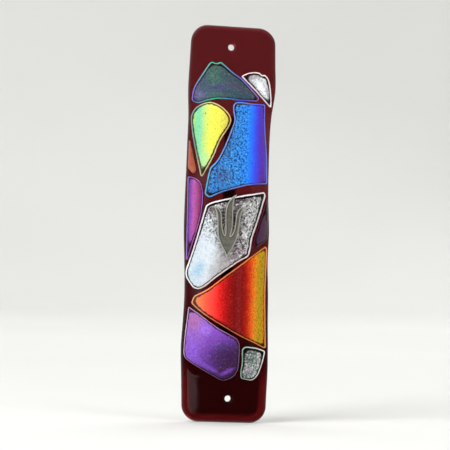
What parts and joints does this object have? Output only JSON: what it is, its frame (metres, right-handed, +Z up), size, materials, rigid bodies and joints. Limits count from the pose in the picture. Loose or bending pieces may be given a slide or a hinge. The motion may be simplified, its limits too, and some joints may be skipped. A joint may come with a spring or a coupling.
{
  "type": "mezuzah case",
  "caption": "Slumped fused-glass mezuzah case: a red strip with an arched hollow behind for a rolled scroll, domed dichroic tiles in front, a pewter letter and screw holes at both ends.",
  "frame": {"origin": "middle of the outline, on the plane of the back that lies against the doorpost", "axes": "+Z up along the case as it hangs, +Y into the doorpost, so the front faces -Y and +X is to the right seen from the front"},
  "size_m": [0.0396, 0.0145, 0.1776],
  "materials": {
    "red_glass": "polished",
    "teal_dichroic": "polished",
    "silver_dichroic": "polished",
    "yellow_dichroic": "polished",
    "blue_dichroic": "polished",
    "copper_dichroic": "polished",
    "magenta_dichroic": "polished",
    "white_silver_dichroic": "polished",
    "plum_dichroic": "polished",
    "flame_dichroic": "polished",
    "violet_dichroic": "polished",
    "grey_silver_dichroic": "polished",
    "pewter": "cast, satin",
    "clear_adhesive": "gloss",
    "parchment": "matt",
    "clear_film": "gloss"
  },
  "bodies": {
    "case": {"base_glass": "red_glass", "tile_teal_peak": "teal_dichroic", "tile_silver_crest": "silver_dichroic", "tile_gold_drop": "yellow_dichroic", "tile_blue_pane": "blue_dichroic", "tile_copper_sliver": "copper_dichroic", "tile_magenta_crescent": "magenta_dichroic", "tile_silver_diamond": "white_silver_dichroic", "tile_plum_sliver": "plum_dichroic", "tile_flame_wedge": "flame_dichroic", "tile_violet_pane": "violet_dichroic", "tile_silver_pebble": "grey_silver_dichroic", "shin_emblem": "pewter", "emblem_adhesive": "clear_adhesive"},
    "scroll": {"scroll_parchment": "parchment", "scroll_wrap": "clear_film"}
  },
  "joints": [
    {"name": "scroll_lift_out", "type": "slide", "parent": "case", "child": "scroll", "axis": [0, 1, 0], "range_m": [0, 0.03]}
  ]
}
